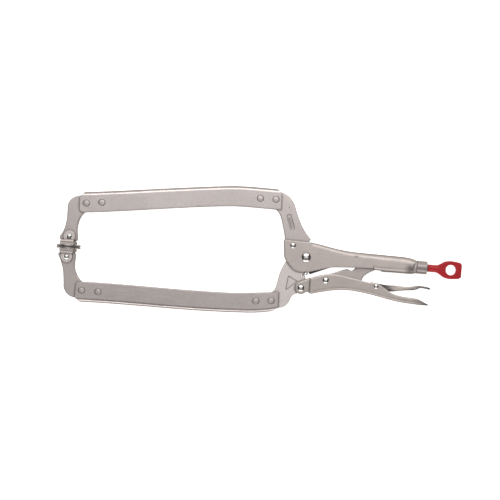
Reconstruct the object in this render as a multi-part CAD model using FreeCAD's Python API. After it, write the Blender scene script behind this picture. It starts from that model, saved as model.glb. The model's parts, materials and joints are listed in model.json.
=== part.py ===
# Locking C clamp, 18 inch class, lying flat on its side.
#
# Working frame while the pieces are drawn (millimetres): the main pivot is on x = 0, y = 0 is the plane
# where the two pads meet, and z = 0 is the middle of every plate. +X runs from the pads to the screw,
# +Y is the side of the fixed jaw, and +Z is the thickness. The last step moves everything so that the
# origin is under the middle of the whole clamp, at the height of the surface that it lies on.

import FreeCAD, Part
import math
import os

# ---- driving dimensions ------------------------------------------------------------------------

PLATE_HALF = 4.75                # jaw plates are 9.5 mm thick
SHEET_HANDLE = 2.55              # sheet of the fixed handle
SHEET_MOVING = 2.2               # sheet of the moving handle
SHEET_CHANNEL = 2.25             # sheet of the two arm channels
SHEET_LEVER = 1.8                # sheet of the release lever
SIDE_GAP = 0.1                   # side clearance between plates that turn on each other
RUNNING = 0.05                   # radial clearance of a pin in a bore

HANDLE_IN = PLATE_HALF + SIDE_GAP
HANDLE_OUT = HANDLE_IN + SHEET_HANDLE
CHANNEL_OUT = PLATE_HALF + SHEET_CHANNEL
EAR_IN = PLATE_HALF + SIDE_GAP
EAR_OUT = EAR_IN + SHEET_MOVING
TROUGH_IN = 6.0
TROUGH_OUT = TROUGH_IN + SHEET_MOVING
LEVER_OUT = TROUGH_IN - 0.2
LINK_HALF = 3.0

MAIN_PIVOT = (0.0, 6.1)
HANDLE_PIVOT = (-3.6, -28.7)
LINK_PIVOT = (23.6, -18.1)
LINK_NOSE = (83.6, 4.6)
LEVER_PIVOT = (80.4, -21.1)
FIXED_JAW_RIVET = (-15.6, 18.3)
UPPER_PAD_PIN = (-266.8, 11.5)
LOWER_PAD_PIN = (-268.4, -11.5)
SPRING_ANCHOR = (56.0, 10.2)
SPRING_HOOK = (0.9, -12.3)

BOSS_R = 10.0                    # pivot boss of the lower jaw
TONGUE_HALF = 1.6                # tongue of the upper jaw, between the lower jaw's two ears
FORK_HALF = TONGUE_HALF + SIDE_GAP
EDGE_ROUND = 0.8                 # rounding of the stamped plates' edges
FINE_ROUND = 0.5                 # the same on the lower jaw's root, which has tighter corners

PAD_CENTRE_X = -267.5
PAD_R = 13.5
PAD_THICK = 2.2
PAD_GAP = 0.1                    # between the two pads with the clamp shut
PAD_EAR = 1.7                    # sheet of the pad's clevis
PAD_EAR_R = 6.8
PAD_EAR_FOOT = 4.6               # the ear's round part starts this far below the pin
PAD_BASE_HALF = 8.6
PAD_BASE_TOP = 3.5
PAD_FOOT_CENTRE_X = -268.3       # raised foot at the bottom of each ear
PAD_FOOT_HALF = (8.3, 7.4)       # at the disc and at its top
PAD_FOOT_TOP = 7.5
PAD_FOOT_OUT = 9.8
PAD_FOOT_LINE = (4.4, 5.2)       # groove along the foot, heights above the contact plane
PAD_FOOT_LINE_DEPTH = 0.6

SCREW_R = 3.9
SCREW_TILT = -1.3                # degrees, screw axis against +X
SCREW_AXIS_POINT = (130.7, 3.4)
SCREW_TIP_X = 91.3
SCREW_BODY_X = 95.5
COLLAR_START_X = 112.0
COLLAR_FACE_X = 124.6
COLLAR_END_X = 136.6
COLLAR_R = 7.2
SLEEVE_R = 4.8
STEM_START_X = 137.4
STEM_R = 4.25
STEM_LENGTH = 12.8
LOOP_START = 9.0                 # from the stem's front face
LOOP_END = 38.2
LOOP_HALF_WIDTH = 10.1
LOOP_CENTRE_X = 163.4
LOOP_HOLE_R = 5.8
LOOP_HALF_THICK = 3.3

MAIN_SHANK_R = 3.6               # pins: shank radii, then head radii and heights
SMALL_SHANK_R = 2.0
HANDLE_SHANK_R = 2.6
LINK_SHANK_R = 2.4
LEVER_SHANK_R = 1.7
PAD_PIN_R = 2.0
ANCHOR_R = 1.2
MAIN_HEAD = (5.0, 2.2)
SMALL_HEAD = (3.0, 1.3)
HANDLE_HEAD = (3.6, 1.7)
LINK_HEAD = (3.5, 1.7)
LEVER_HEAD = (2.4, 1.1)
PAD_PIN_HEAD = (3.1, 1.8)

TIP_R = 3.2
TIP_STEM_R = 1.5
SCREW_TAIL_R = 2.8
LINK_NOSE_R = 4.0

SPRING_R = 2.8
SPRING_START = 3.0               # from the hook's centre to the first coil
SPRING_END = 4.0                 # from the last coil to the anchor pin
HOOK_HOLE = (-3.4, -14.2)
HOOK_HOLE_R = 1.2
PUNCH_MARK = (-22.6, 60.5)
BADGE_ENDS = ((-16.9, 35.9), (-22.7, 52.4))
POCKET = ((-18.6, -15.5), (-7.8, -21.4), (-20.8, -33.1))

SHOULDER_FRONT = 3.8             # rounding of the fixed handle's top edges, front and rear
SHOULDER_REAR = 6.9
TUBE_LOW_ROUND = 6.0
CRIMP_GROOVE = ((124.4, 11.5), (120.2, -5.0))
CRIMP_GROOVE_R = 2.6
CRIMP_GROOVE_DEPTH = 1.1

CHANNEL_BEND = 4.0
CHANNEL_ROUND = 0.5
CHANNEL_RIVET_R = 2.4
CHANNEL_RIVET_HEAD_R = 3.55
CHANNEL_RIVET_RIM = 0.55
CHANNEL_RIVET_DOME = 0.4
CHANNEL_SEAT_R = 3.75
CHANNEL_SEAT_DEPTH = 0.8
UPPER_CHANNEL_RIVETS = [(-250.2, 49.6), (-232.9, 51.6), (-55.7, 68.3), (-38.2, 68.3)]
LOWER_CHANNEL_RIVETS = [(-248.9, -48.4), (-230.4, -48.6), (-53.1, -46.9), (-36.0, -45.4)]

THROUGH = 20.0                   # half length of a cut that goes right through

V = FreeCAD.Vector
Z_AXIS = V(0, 0, 1)

# ---- outlines ----------------------------------------------------------------------------------


def point(xy, z=0.0):
    return V(xy[0], xy[1], z)


def straight(*points):
    """A run of straight lines through the points."""
    return [Part.LineSegment(point(a), point(b)).toShape() for a, b in zip(points, points[1:])]


def curve(*points):
    """A smooth curve through the points."""
    spline = Part.BSplineCurve()
    spline.interpolate([point(p) for p in points])
    return [spline.toShape()]


def arc(start, middle, end):
    return [Part.Arc(point(start), point(middle), point(end)).toShape()]


def slab(runs, low, high):
    """A flat solid with the closed outline given as runs of edges, from z = low to z = high."""
    edges = [edge for run in runs for edge in run]
    wire = Part.Wire(Part.__sortEdges__(edges))
    face = Part.Face(wire)
    solid = face.extrude(V(0, 0, high - low))
    solid.translate(V(0, 0, low))
    return solid


def polygon_slab(points, low, high):
    return slab([straight(*points, points[0])], low, high)


def block(x0, x1, y0, y1, z0, z1):
    return Part.makeBox(x1 - x0, y1 - y0, z1 - z0, V(x0, y0, z0))


def disc(centre, radius, low, high):
    return Part.makeCylinder(radius, high - low, point(centre, low), Z_AXIS)


def mirrored_z(shape):
    return shape.mirror(V(0, 0, 0), Z_AXIS)


def both_sides(shape):
    """The shape and its mirror image below z = 0, as one shape."""
    return shape.fuse(mirrored_z(shape))


def edges_where(shape, test):
    """Edges whose middle point passes the test."""
    found = []
    for edge in shape.Edges:
        middle = edge.valueAt(0.5 * (edge.FirstParameter + edge.LastParameter))
        if test(middle, edge):
            found.append(edge)
    return found


def at_height(point_on_edge, height):
    return abs(abs(point_on_edge.z) - height) < 1e-3


def level_edges(shape, height, low_x=-1000.0, high_x=1000.0):
    """Edges that lie flat at z = +height or z = -height, between two x values."""
    def test(middle, edge):
        box = edge.BoundBox
        flat = box.ZMax - box.ZMin < 1e-3
        return flat and at_height(middle, height) and low_x < middle.x < high_x
    return edges_where(shape, test)


def rounded(shape, radius, edges):
    return shape.makeFillet(radius, edges)


def rounded_plate(runs, half, radius=EDGE_ROUND):
    """A stamped plate with its two outlines rounded."""
    plate = slab(runs, -half, half)
    return rounded(plate, radius, level_edges(plate, half))


# ---- rivets ------------------------------------------------------------------------------------


def dome(centre, radius, height, z):
    """A domed head that stands on z, pointing up."""
    ball = (radius ** 2 + height ** 2) / (2.0 * height)
    sphere = Part.makeSphere(ball, point(centre, z + height - ball))
    keep = disc(centre, radius + 1.0, z, z + height + 1.0)
    return sphere.common(keep)


def domed_rivet(centre, shank_r, head_size, half_grip):
    head_r, head_height = head_size
    shank = disc(centre, shank_r, -half_grip, half_grip)
    rim = disc(centre, head_r, half_grip, half_grip + 0.25 * head_height)
    head = rim.fuse(dome(centre, head_r, 0.75 * head_height, half_grip + 0.25 * head_height))
    return shank.fuse(both_sides(head)).removeSplitter()


def flush_rivet(centre):
    """A rivet whose two low heads stand in shallow seats in the channel's flanges."""
    shank = disc(centre, CHANNEL_RIVET_R, -CHANNEL_OUT, CHANNEL_OUT)
    seat = CHANNEL_OUT - CHANNEL_SEAT_DEPTH
    top = seat + CHANNEL_RIVET_RIM
    rim = disc(centre, CHANNEL_RIVET_HEAD_R, seat, top)
    head = rim.fuse(dome(centre, CHANNEL_RIVET_HEAD_R, CHANNEL_RIVET_DOME, top))
    return shank.fuse(both_sides(head)).removeSplitter()


def rivet_seats(centres):
    """Everything that a row of flush rivets takes out of a channel and its plates."""
    seats = []
    for centre in centres:
        seats.append(disc(centre, CHANNEL_RIVET_R, -THROUGH, THROUGH))
        seats.append(both_sides(disc(centre, CHANNEL_SEAT_R, CHANNEL_OUT - CHANNEL_SEAT_DEPTH, THROUGH)))
    return seats


def rivet_holes(centres):
    return [disc(centre, CHANNEL_RIVET_R, -THROUGH, THROUGH) for centre in centres]


# ---- arm channels ------------------------------------------------------------------------------


def channel(outline, bend_y, hollow, end_cuts, rivets):
    """A U-shaped arm: a long web on the bend_y side of the jaw, and two flanges with rounded outlines."""
    body = slab(outline, -CHANNEL_OUT, CHANNEL_OUT)
    outside = math.copysign(1.0, bend_y)

    def on_bend(m, e):
        return at_height(m, CHANNEL_OUT) and e.Length > 200.0 and outside * (m.y - bend_y) > 0.0

    body = rounded(body, CHANNEL_BEND, edges_where(body, on_bend))

    def on_rim(m, e):
        return at_height(m, CHANNEL_OUT) and e.Length > 5.0 and not is_smooth_bend(e, bend_y)

    body = rounded(body, CHANNEL_ROUND, edges_where(body, on_rim))
    return body.cut([hollow] + end_cuts + rivet_seats(rivets)).removeSplitter()


def is_smooth_bend(edge, bend_y):
    """True for the line where a flange runs over into its bend."""
    middle = edge.valueAt(0.5 * (edge.FirstParameter + edge.LastParameter))
    return edge.Length > 200.0 and math.copysign(1.0, bend_y) * (middle.y - bend_y) > 0.0


def make_upper_channel():
    outline = [
        curve((-253.0, 62.3), (-180.0, 70.4), (-103.0, 79.0), (-84.0, 80.6), (-60.0, 80.8),
              (-37.0, 80.2)),
        straight((-37.0, 80.2), (-31.8, 75.6), (-31.2, 57.4)),
        curve((-31.2, 57.4), (-60.0, 58.0), (-84.0, 58.0), (-103.0, 56.6), (-180.0, 47.8), (-255.0, 39.4)),
        straight((-255.0, 39.4), (-257.6, 42.0), (-258.2, 55.6), (-253.0, 62.3)),
    ]
    roof = curve((-262.0, 59.05), (-180.0, 68.13), (-103.0, 76.75), (-84.0, 78.33), (-60.0, 78.55),
                 (-20.0, 77.4))
    mouth = straight((-20.0, 77.4), (-20.0, 30.0), (-262.0, 30.0), (-262.0, 59.05))
    hollow = slab([roof, mouth], -PLATE_HALF, PLATE_HALF)
    end_cuts = [block(-262.0, -252.4, 56.0, 70.0, -PLATE_HALF, PLATE_HALF),
                block(-36.6, -28.0, 72.0, 84.0, -PLATE_HALF, PLATE_HALF)]
    return channel(outline, 66.0, hollow, end_cuts, UPPER_CHANNEL_RIVETS)


def make_lower_channel():
    outline = [
        curve((-250.5, -61.0), (-180.0, -61.2), (-100.0, -61.7), (-74.0, -61.0), (-52.0, -59.8),
              (-34.6, -57.0)),
        straight((-34.6, -57.0), (-27.6, -53.0), (-28.0, -35.2)),
        curve((-28.0, -35.2), (-50.0, -37.2), (-74.0, -39.2), (-100.0, -39.9), (-180.0, -39.0),
              (-253.5, -38.6)),
        straight((-253.5, -38.6), (-255.9, -40.6), (-256.3, -56.0), (-250.5, -61.0)),
    ]
    roof = curve((-262.0, -58.72), (-180.0, -58.95), (-100.0, -59.45), (-74.0, -58.74), (-52.0, -57.5),
                 (-20.0, -52.2))
    mouth = straight((-20.0, -52.2), (-20.0, -20.0), (-262.0, -20.0), (-262.0, -58.72))
    hollow = slab([roof, mouth], -PLATE_HALF, PLATE_HALF)
    end_cuts = [block(-262.0, -250.0, -64.0, -54.0, -PLATE_HALF, PLATE_HALF),
                block(-35.4, -25.0, -64.0, -52.0, -PLATE_HALF, PLATE_HALF)]
    return channel(outline, -50.0, hollow, end_cuts, LOWER_CHANNEL_RIVETS)


# ---- jaw plates --------------------------------------------------------------------------------


def make_upper_jaw_tip():
    runs = [
        straight((-226.0, 44.4), (-226.0, 62.2), (-251.0, 59.4)),
        curve((-251.0, 59.4), (-257.4, 58.3), (-265.0, 55.6), (-269.6, 50.8), (-271.0, 43.0)),
        curve((-271.0, 43.0), (-271.5, 27.0), (-273.0, 20.0), (-276.6, 12.6)),
        arc((-276.6, 12.6), (-277.3, 8.4), (-274.2, 6.8)),
        straight((-274.2, 6.8), (-259.6, 6.8)),
        arc((-259.6, 6.8), (-258.1, 7.5), (-257.7, 9.0)),
        curve((-257.7, 9.0), (-258.3, 14.0), (-258.9, 19.6), (-258.3, 26.4), (-255.2, 35.2), (-248.8, 41.2)),
        straight((-248.8, 41.2), (-226.0, 44.4)),
    ]
    pin_bore = disc(UPPER_PAD_PIN, PAD_PIN_R + RUNNING, -THROUGH, THROUGH)
    return rounded_plate(runs, PLATE_HALF).cut(rivet_holes(UPPER_CHANNEL_RIVETS[:2]) + [pin_bore])


def make_lower_jaw_tip():
    runs = [
        straight((-226.0, -40.4), (-247.0, -39.6)),
        curve((-247.0, -39.6), (-252.4, -36.2), (-257.2, -28.6), (-259.2, -21.8), (-259.0, -14.8),
              (-258.9, -9.0)),
        curve((-258.9, -9.0), (-259.3, -7.4), (-260.6, -6.9)),
        straight((-260.6, -6.9), (-276.0, -6.9)),
        curve((-276.0, -6.9), (-277.8, -8.2), (-277.5, -10.4)),
        curve((-277.5, -10.4), (-274.8, -16.4), (-272.2, -23.4), (-270.9, -29.6)),
        straight((-270.9, -29.6), (-269.7, -42.0)),
        curve((-269.7, -42.0), (-268.4, -48.6), (-262.6, -54.8), (-256.0, -56.8)),
        straight((-256.0, -56.8), (-248.0, -58.4), (-226.0, -58.4), (-226.0, -40.4)),
    ]
    pin_bore = disc(LOWER_PAD_PIN, PAD_PIN_R + RUNNING, -THROUGH, THROUGH)
    return rounded_plate(runs, PLATE_HALF).cut(rivet_holes(LOWER_CHANNEL_RIVETS[:2]) + [pin_bore])


def upright_edges(shape):
    return edges_where(shape, lambda m, e: e.BoundBox.ZLength > 1.0)


def long_panel(low, high, half_width, corner, z0, z1):
    """A straight panel from one end point to the other, with rounded corners."""
    along = (high - low).normalize()
    across = Z_AXIS.cross(along) * half_width
    corners = [(c.x, c.y) for c in (low + across, high + across, high - across, low - across)]
    panel = polygon_slab(corners, z0, z1)
    return rounded(panel, corner, upright_edges(panel))


def badge_recess():
    """A shallow blank panel on the upper jaw's root, with one plain raised bar left in its middle."""
    low, high = (point(p) for p in BADGE_ENDS)
    along = (high - low).normalize()
    panel = long_panel(low, high, 2.6, 1.5, PLATE_HALF - 0.7, PLATE_HALF + 1.0)
    bar = long_panel(low + along * 3.0, high - along * 3.0, 0.85, 0.8, PLATE_HALF - 2.0, PLATE_HALF - 0.1)
    return both_sides(panel.cut(bar))


def punch_mark():
    """A small round dimple near the upper jaw's corner."""
    return both_sides(disc(PUNCH_MARK, 0.6, PLATE_HALF - 0.3, PLATE_HALF + 1.0))


def make_upper_jaw_root():
    runs = [
        straight((-64.0, 60.4), (-64.0, 77.8), (-40.0, 77.6)),
        curve((-40.0, 77.6), (-31.2, 76.8), (-24.6, 73.6), (-19.4, 68.6), (-15.4, 60.6)),
        curve((-15.4, 60.6), (-9.8, 46.6), (-4.4, 36.8), (3.4, 27.4)),
        straight((3.4, 27.4), (3.9, 26.2), (2.6, 24.0), (2.6, 12.0), (-14.0, 12.0), (-23.6, 7.2),
                 (-25.0, 24.0)),
        curve((-25.0, 24.0), (-25.8, 29.4), (-28.6, 40.4), (-30.8, 48.0), (-34.6, 54.8), (-42.0, 59.0)),
        straight((-42.0, 59.0), (-64.0, 60.4)),
    ]
    plate = slab(runs, -PLATE_HALF, PLATE_HALF)
    plate = plate.cut(disc(MAIN_PIVOT, BOSS_R + 0.6, -THROUGH, THROUGH))
    plate = rounded(plate, EDGE_ROUND, level_edges(plate, PLATE_HALF))
    tongue_runs = [straight((3.0, 22.0), (9.4, 6.1)), arc((9.4, 6.1), (0.0, -3.3), (-9.4, 6.1)),
                   straight((-9.4, 6.1), (-14.0, 15.0), (3.0, 22.0))]
    tongue = slab(tongue_runs, -TONGUE_HALF, TONGUE_HALF)
    holes = rivet_holes(UPPER_CHANNEL_RIVETS[2:])
    holes.append(disc(MAIN_PIVOT, MAIN_SHANK_R, -THROUGH, THROUGH))
    holes.append(disc(FIXED_JAW_RIVET, SMALL_SHANK_R, -THROUGH, THROUGH))
    return plate.fuse(tongue).cut(holes + [badge_recess(), punch_mark()]).removeSplitter()


def make_lower_jaw_root():
    runs = [
        arc((8.6, 1.0), (0.0, 16.1), (-8.6, 11.2)),
        straight((-8.6, 11.2), (-21.4, 2.0)),
        curve((-21.4, 2.0), (-23.6, -2.6), (-27.6, -12.0), (-30.2, -23.0), (-32.4, -31.4), (-42.0, -37.6)),
        straight((-42.0, -37.6), (-62.0, -39.2), (-62.0, -57.6), (-52.0, -57.0), (-34.0, -54.2),
                 (-26.0, -52.6)),
        curve((-26.0, -52.6), (-19.6, -49.8), (-15.6, -44.4), (-13.0, -38.4), (-8.0, -35.4), (-4.4, -35.1)),
        arc((-4.4, -35.1), (1.4, -32.8), (2.9, -28.4)),
        curve((2.9, -28.4), (2.8, -22.4), (0.9, -17.2), (-0.4, -13.4), (1.4, -8.4), (5.6, -3.0), (8.6, 1.0)),
    ]
    plate = rounded_plate(runs, PLATE_HALF, FINE_ROUND)
    fork = disc(MAIN_PIVOT, BOSS_R + 4.5, -FORK_HALF, FORK_HALF)
    pocket = polygon_slab(POCKET, PLATE_HALF - 0.9, PLATE_HALF + 1.0)
    pocket = both_sides(rounded(pocket, 0.9, upright_edges(pocket)))
    holes = rivet_holes(LOWER_CHANNEL_RIVETS[2:])
    holes.append(disc(MAIN_PIVOT, MAIN_SHANK_R + RUNNING, -THROUGH, THROUGH))
    holes.append(disc(HANDLE_PIVOT, HANDLE_SHANK_R, -THROUGH, THROUGH))
    holes.append(disc(HOOK_HOLE, HOOK_HOLE_R, -THROUGH, THROUGH))
    return plate.cut(holes + [fork, pocket]).removeSplitter()


# ---- fixed handle ------------------------------------------------------------------------------


def tapered_round(shape, small, large, edges):
    """Rounds long edges with a radius that grows from small at the low-x end to large at the high-x end."""
    for edge in edges:
        first = edge.valueAt(edge.FirstParameter)
        last = edge.valueAt(edge.LastParameter)
        low_first = (first.x < last.x) == (edge.Orientation == "Forward")
        radii = (small, large) if low_first else (large, small)
        target = [e for e in shape.Edges if close_edges(e, edge)]
        shape = shape.makeFillet(radii[0], radii[1], target)
    return shape


def close_edges(one, other):
    """True if two edges have the same middle point and length."""
    middles = [e.valueAt(0.5 * (e.FirstParameter + e.LastParameter)) for e in (one, other)]
    return middles[0].distanceToPoint(middles[1]) < 1e-3 and abs(one.Length - other.Length) < 1e-2


def handle_blank():
    """The fixed handle's side outline at full thickness, its top edges rounded, more so at the rear."""
    top = curve((4.4, 23.0), (15.0, 21.4), (30.0, 18.4), (46.0, 16.1), (75.0, 14.8), (100.0, 14.1),
                (112.0, 13.6), (118.5, 12.7), (125.0, 10.2))
    rest = straight((125.0, 10.2), (125.0, -14.0), (4.4, -14.0), (4.4, 23.0))
    blank = slab([top, rest], -HANDLE_OUT, HANDLE_OUT)
    shoulders = edges_where(blank, lambda m, e: at_height(m, HANDLE_OUT) and m.y > 10.0 and e.Length > 50.0)
    return tapered_round(blank, SHOULDER_FRONT, SHOULDER_REAR, shoulders)


def handle_saddle(blank):
    """Behind the open front: the bent sheet with its two rounded shoulders."""
    side = [
        straight((3.0, 26.0), (76.0, 26.0), (76.0, -1.7), (64.0, -1.7), (46.0, -2.4), (34.0, -3.0)),
        curve((34.0, -3.0), (24.0, -4.6), (14.0, -7.6), (3.0, -10.3)),
        straight((3.0, -10.3), (3.0, 26.0)),
    ]
    return blank.common(slab(side, -THROUGH, THROUGH))


def handle_tube(blank):
    """Rear tube: the sheet closes underneath and necks down to the collar."""
    low = curve((125.0, -3.0), (121.0, -4.3), (112.0, -4.7), (92.0, -4.5), (80.0, -4.0), (71.0, -2.0))
    rest = straight((71.0, -2.0), (71.0, 30.0), (125.0, 30.0), (125.0, -3.0))
    side = slab([low, rest], -HANDLE_OUT, HANDLE_OUT)
    low_edges = edges_where(side, lambda m, e: at_height(m, HANDLE_OUT) and m.y < 0.0 and e.Length > 30.0)
    return blank.common(rounded(side, TUBE_LOW_ROUND, low_edges))


def handle_cheek():
    """Front cheek, open above and below for the two jaw plates."""
    side = [
        straight((-26.0, 24.4), (4.6, 23.0), (4.6, -10.2), (-3.0, -10.7)),
        curve((-3.0, -10.7), (-8.4, -10.5), (-14.0, -8.2), (-19.2, -3.0), (-22.8, 1.8), (-24.8, 9.0)),
        straight((-24.8, 9.0), (-25.9, 22.0), (-26.0, 24.4)),
    ]
    cheek = slab(side, HANDLE_IN, HANDLE_OUT)
    return rounded(cheek, 0.9, level_edges(cheek, HANDLE_OUT, high_x=4.0))


def handle_room():
    """The hollow: under the web in front, between two webs in the tube."""
    roof = curve((4.4, 20.4), (15.0, 18.8), (30.0, 15.85), (46.0, 13.5), (75.0, 12.25),
                 (COLLAR_START_X, 11.0))
    rest = straight((COLLAR_START_X, 11.0), (COLLAR_START_X, -2.0), (86.0, -2.0), (86.0, -20.0),
                    (-30.0, -20.0), (-30.0, 20.4), (4.4, 20.4))
    room = slab([roof, rest], -HANDLE_IN, HANDLE_IN)

    def on_roof(m, e):
        return at_height(m, HANDLE_IN) and m.y > 10.0 and m.x > 5.0 and e.Length > 30.0

    return rounded(room, 2.0, edges_where(room, on_roof))


def crimp_grooves():
    """The grooves that the crimping tool leaves where the tube's end is closed on the collar."""
    high, low = (point(p, HANDLE_OUT + CRIMP_GROOVE_R - CRIMP_GROOVE_DEPTH) for p in CRIMP_GROOVE)
    groove = Part.makeCylinder(CRIMP_GROOVE_R, high.distanceToPoint(low), low, high - low)
    return [groove, mirrored_z(groove)]


def make_fixed_handle():
    blank = handle_blank()
    cheek = handle_cheek()
    outer = handle_saddle(blank).fuse([handle_tube(blank), cheek, mirrored_z(cheek)]).removeSplitter()
    open_front = block(-30.0, 4.4, -20.0, 30.0, -HANDLE_IN, HANDLE_IN)
    seam = block(85.0, COLLAR_START_X - 4.0, -8.0, 0.0, -1.1, 1.1)
    cuts = [handle_room(), open_front, seam]
    cuts.append(screw_cylinder(SLEEVE_R, COLLAR_START_X - 2.0, COLLAR_FACE_X + 4.0))
    cuts.append(disc(MAIN_PIVOT, MAIN_SHANK_R, -THROUGH, THROUGH))
    cuts.append(disc(FIXED_JAW_RIVET, SMALL_SHANK_R, -THROUGH, THROUGH))
    cuts.append(disc(SPRING_ANCHOR, ANCHOR_R, -THROUGH, THROUGH))
    end = Part.makeBox(30.0, 60.0, 60.0, V(0, -30.0, -30.0))
    end.Placement = screw_placement(COLLAR_FACE_X).multiply(end.Placement)
    return outer.cut(cuts + [end]).cut(crimp_grooves()).removeSplitter()


def make_spring_anchor_pin():
    return disc(SPRING_ANCHOR, ANCHOR_R, -HANDLE_OUT - 0.1, HANDLE_OUT + 0.1)


# ---- screw -------------------------------------------------------------------------------------


def screw_point(x):
    """The point of the screw's axis at a given x."""
    slope = math.tan(math.radians(SCREW_TILT))
    return V(x, SCREW_AXIS_POINT[1] + slope * (x - SCREW_AXIS_POINT[0]), 0.0)


def screw_direction():
    angle = math.radians(SCREW_TILT)
    return V(math.cos(angle), math.sin(angle), 0.0)


def screw_placement(x):
    """Moves a shape drawn along +X from the origin onto the screw's axis at x."""
    return FreeCAD.Placement(screw_point(x), FreeCAD.Rotation(Z_AXIS, SCREW_TILT))


def screw_cylinder(radius, x0, x1):
    length = screw_point(x1).distanceToPoint(screw_point(x0))
    return Part.makeCylinder(radius, length, screw_point(x0), screw_direction())


def make_screw_collar():
    flange = screw_cylinder(COLLAR_R, COLLAR_FACE_X, COLLAR_END_X)
    flange = rounded(flange, 0.9, [e for e in flange.Edges if e.BoundBox.YLength > 5.0])
    sleeve = screw_cylinder(SLEEVE_R, COLLAR_START_X, COLLAR_FACE_X + 2.0)
    bore = screw_cylinder(SCREW_R + RUNNING, COLLAR_START_X - 5.0, COLLAR_END_X + 5.0)
    return flange.fuse(sleeve).cut(bore).removeSplitter()


def make_screw_tip():
    """The hardened button on the screw's inner end: a domed head with a stem in the screw."""
    head = screw_cylinder(TIP_R, SCREW_TIP_X, SCREW_BODY_X)
    front = [e for e in head.Edges if e.BoundBox.XMax < SCREW_TIP_X + 1.0]
    head = rounded(head, 1.2, front)
    return head.fuse(screw_cylinder(TIP_STEM_R, SCREW_BODY_X - 1.0, SCREW_BODY_X + 5.0)).removeSplitter()


def make_adjusting_screw():
    rod = screw_cylinder(SCREW_R, SCREW_BODY_X, STEM_START_X)
    tail = screw_cylinder(SCREW_TAIL_R, STEM_START_X - 1.0, STEM_START_X + 9.0)
    bore = screw_cylinder(TIP_STEM_R + RUNNING, SCREW_BODY_X - 1.0, SCREW_BODY_X + 5.3)
    return rod.fuse(tail).cut(bore).removeSplitter()


def make_screw_loop():
    """Grip ring on a round stem, drawn along +X from the stem's front face."""
    top = [(LOOP_START, STEM_R - 0.3), (13.0, 5.5), (18.0, 8.6), (23.6, LOOP_HALF_WIDTH),
           (28.4, LOOP_HALF_WIDTH), (34.0, 9.5), (37.2, 8.1), (LOOP_END, 6.2)]
    bottom = [(x, -y) for x, y in reversed(top)]
    ring_runs = [curve(*top[:5]), curve(*top[4:]), straight(top[-1], bottom[0]),
                 curve(*bottom[:4]), curve(*bottom[3:]), straight(bottom[-1], top[0])]
    ring = slab(ring_runs, -LOOP_HALF_THICK, LOOP_HALF_THICK)
    ring = rounded(ring, 1.6, level_edges(ring, LOOP_HALF_THICK, low_x=LOOP_START + 0.5))
    stem = Part.makeCylinder(STEM_R, STEM_LENGTH, V(0, 0, 0), V(1, 0, 0))
    hole_x = LOOP_CENTRE_X - STEM_START_X
    hole = Part.makeCylinder(LOOP_HOLE_R, 2 * THROUGH, V(hole_x, 0, -THROUGH), Z_AXIS)
    body = stem.fuse(ring).cut(hole)

    def on_hole_rim(m, e):
        round_edge = isinstance(e.Curve, Part.Circle) and abs(e.Curve.Radius - LOOP_HOLE_R) < 1e-3
        return round_edge and e.BoundBox.ZLength < 1e-3 and at_height(m, LOOP_HALF_THICK)

    body = rounded(body, 1.0, edges_where(body, on_hole_rim))
    body.Placement = screw_placement(STEM_START_X)
    tail = screw_cylinder(SCREW_TAIL_R, STEM_START_X - 1.0, STEM_START_X + 9.0)
    return body.cut(tail).removeSplitter()


# ---- moving handle, link and release lever -----------------------------------------------------


def long_low_edges(shape, height):
    """The two long edges along the bottom of the moving handle's trough."""
    return edges_where(shape, lambda m, e: at_height(m, height) and e.Length > 100.0 and m.y < -20.0)


def make_moving_handle():
    top = [
        curve((6.0, -17.2), (14.0, -14.4), (22.0, -12.0), (30.0, -10.9), (40.0, -11.7), (56.0, -14.5),
              (80.0, -17.6)),
        curve((80.0, -17.6), (86.0, -20.2), (94.0, -25.2), (100.0, -28.2), (108.0, -29.9)),
        curve((108.0, -29.9), (118.0, -31.2), (129.0, -32.6), (134.0, -35.0), (140.0, -37.6)),
    ]
    end = straight((140.0, -37.6), (139.4, -38.9), (134.0, -38.9))
    bottom = [
        curve((134.0, -38.9), (118.0, -38.1), (104.0, -36.6), (90.0, -33.9), (76.0, -31.0), (62.0, -28.8),
              (48.0, -27.7), (34.0, -28.8), (20.0, -31.6), (8.4, -34.6)),
        straight((8.4, -34.6), (6.0, -34.0), (6.0, -17.2)),
    ]
    body = slab(top + [end] + bottom, -TROUGH_OUT, TROUGH_OUT)
    body = rounded(body, 3.2, long_low_edges(body, TROUGH_OUT))
    floor = curve((145.0, -36.7), (118.0, -35.9), (104.0, -34.4), (90.0, -31.7), (76.0, -28.8),
                  (62.0, -26.6), (48.0, -25.5), (34.0, -26.6), (20.0, -29.4), (2.0, -33.9))
    mouth = straight((2.0, -33.9), (2.0, 0.0), (145.0, 0.0), (145.0, -36.7))
    room = slab([floor, mouth], -TROUGH_IN, TROUGH_IN)
    trough = body.cut(rounded(room, 1.2, long_low_edges(room, TROUGH_IN)))
    ear_runs = [
        curve((-6.6, -22.4), (0.0, -19.3), (9.0, -16.2)),
        straight((9.0, -16.2), (9.0, -32.8), (4.4, -32.8)),
        straight((4.4, -32.8), (2.2, -32.6)),
        arc((2.2, -32.6), (-8.6, -33.5), (-6.6, -22.4)),
    ]
    ear = slab(ear_runs, EAR_IN, EAR_OUT)
    ear = rounded(ear, 0.7, level_edges(ear, EAR_OUT, high_x=5.0))
    holes = [disc(HANDLE_PIVOT, HANDLE_SHANK_R + RUNNING, -THROUGH, THROUGH),
             disc(LINK_PIVOT, LINK_SHANK_R, -THROUGH, THROUGH),
             disc(LEVER_PIVOT, LEVER_SHANK_R, -THROUGH, THROUGH)]
    return trough.fuse([ear, mirrored_z(ear)]).cut(holes).removeSplitter()


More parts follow.
